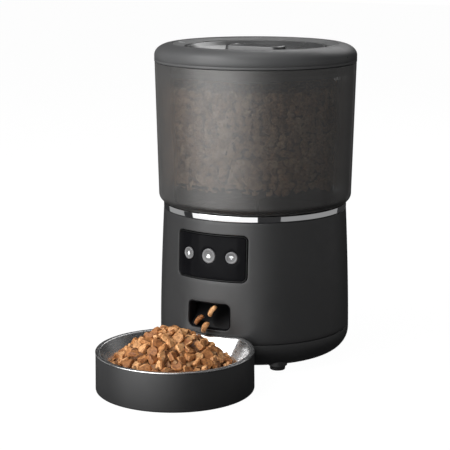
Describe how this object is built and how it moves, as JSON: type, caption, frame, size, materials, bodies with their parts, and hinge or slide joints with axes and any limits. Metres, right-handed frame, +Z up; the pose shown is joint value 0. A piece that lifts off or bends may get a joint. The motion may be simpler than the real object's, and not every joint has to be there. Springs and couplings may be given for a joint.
{
  "type": "automatic pet feeder",
  "caption": "Countertop kibble feeder: smoked tank with a locking lid on a motor base with a control panel and food chute, and a steel bowl in a docking tray.",
  "frame": {"origin": "middle of the overall footprint, on the surface the feeder stands on", "axes": "+Z up, the bowl and the control panel face -Y, +X to the right as seen from the front"},
  "size_m": [0.1962, 0.3238, 0.305],
  "materials": {
    "charcoal_plastic": "fine spark texture, satin",
    "lid_plastic": "smooth satin",
    "smoked_tank": "dark smoked clear plastic",
    "chrome_trim": "mirror plated",
    "bowl_steel": "fine spun brushing",
    "panel_gloss": "piano black",
    "bezel_plastic": "satin",
    "button_cap": "satin cap with a white lit icon",
    "black_plastic": "moulded",
    "rubber_parts": "matt",
    "zinc_steel": "zinc plated",
    "white_plastic": "natural acetal",
    "circuit_board": "solder mask"
  },
  "bodies": {
    "base": {"body_shell": "charcoal_plastic", "base_cover": "charcoal_plastic", "foot_1": "rubber_parts", "foot_2": "rubber_parts", "foot_3": "rubber_parts", "foot_4": "rubber_parts", "cover_screw_1": "zinc_steel", "cover_screw_2": "zinc_steel", "cover_screw_3": "zinc_steel", "cover_screw_4": "zinc_steel", "trim_ring": "chrome_trim", "deck": "black_plastic", "deck_screw_1": "zinc_steel", "deck_screw_2": "zinc_steel", "deck_screw_3": "zinc_steel", "chute": "black_plastic", "ir_emitter": "black_plastic", "ir_receiver": "black_plastic", "panel_bezel": "bezel_plastic", "panel_window": "panel_gloss", "tact_switch_1": "black_plastic", "tact_switch_2": "black_plastic", "tact_switch_3": "black_plastic", "button_board": "circuit_board", "gear_bracket": "zinc_steel", "gear_motor": "zinc_steel", "shaft_bush": "white_plastic", "shaft_seal": "rubber_parts", "motor_screw_1": "zinc_steel", "motor_screw_2": "zinc_steel", "bracket_screw_1": "zinc_steel", "bracket_screw_2": "zinc_steel", "battery_box": "black_plastic", "battery_spring_1": "zinc_steel", "battery_spring_2": "zinc_steel", "battery_spring_3": "zinc_steel", "main_board": "circuit_board", "wifi_module": "zinc_steel", "speaker": "black_plastic", "dc_jack": "black_plastic"},
    "drive": {"output_shaft": "zinc_steel", "drive_gear": "white_plastic"},
    "pinion": {"motor_pinion": "white_plastic"},
    "tank": {"tank": "smoked_tank", "outlet_baffle": "black_plastic"},
    "rotor": {"impeller": "black_plastic", "stirrer_cap": "black_plastic"},
    "lid": {"lid_shell": "lid_plastic", "lid_gasket": "rubber_parts", "lid_liner": "black_plastic", "desiccant_case": "white_plastic"},
    "knob": {"lock_knob": "lid_plastic", "lock_plate": "white_plastic", "knob_screw": "zinc_steel"},
    "record_button": {"record_button": "button_cap"},
    "feed_button": {"feed_button": "button_cap"},
    "wifi_button": {"wifi_button": "button_cap"},
    "tray": {"bowl_tray": "charcoal_plastic"},
    "bowl": {"steel_bowl": "bowl_steel"},
    "battery_door": {"battery_door": "charcoal_plastic"}
  },
  "joints": [
    {"name": "tank_lift", "type": "slide", "parent": "base", "child": "tank", "axis": [0, 0, 1], "range_m": [0, 0.06]},
    {"name": "lid_lift", "type": "slide", "parent": "tank", "child": "lid", "axis": [0, 0, 1], "range_m": [0, 0.05]},
    {"name": "knob_turn", "type": "hinge", "parent": "lid", "child": "knob", "pos_m": [0, 0.06375, 0.295], "axis": [0, 0, 1], "range_deg": [0, 45]},
    {"name": "rotor_spin", "type": "hinge", "parent": "tank", "child": "rotor", "pos_m": [0, 0.06375, 0.165], "axis": [0, 0, 1], "continuous": true},
    {"name": "drive_spin", "type": "hinge", "parent": "base", "child": "drive", "pos_m": [0, 0.06375, 0.13], "axis": [0, 0, 1], "continuous": true},
    {"name": "pinion_spin", "type": "hinge", "parent": "base", "child": "pinion", "pos_m": [0, 0.10575, 0.122], "axis": [0, 0, 1], "continuous": true},
    {"name": "record_press", "type": "slide", "parent": "base", "child": "record_button", "axis": [0, 1, 0], "range_m": [0, 0.001], "stiffness_N_per_m": 400},
    {"name": "feed_press", "type": "slide", "parent": "base", "child": "feed_button", "axis": [0, 1, 0], "range_m": [0, 0.001], "stiffness_N_per_m": 400},
    {"name": "wifi_press", "type": "slide", "parent": "base", "child": "wifi_button", "axis": [0, 1, 0], "range_m": [0, 0.001], "stiffness_N_per_m": 400},
    {"name": "tray_slide", "type": "slide", "parent": "base", "child": "tray", "axis": [0, -1, 0], "range_m": [0, 0.045]},
    {"name": "bowl_lift", "type": "slide", "parent": "tray", "child": "bowl", "axis": [0, 0, 1], "range_m": [0, 0.05]},
    {"name": "door_release", "type": "slide", "parent": "base", "child": "battery_door", "axis": [0, 0, -1], "range_m": [0, 0.02]}
  ],
  "couplings": [
    {"joint": "drive_spin", "follows": "rotor_spin", "ratio": 1},
    {"joint": "pinion_spin", "follows": "rotor_spin", "ratio": -3}
  ]
}
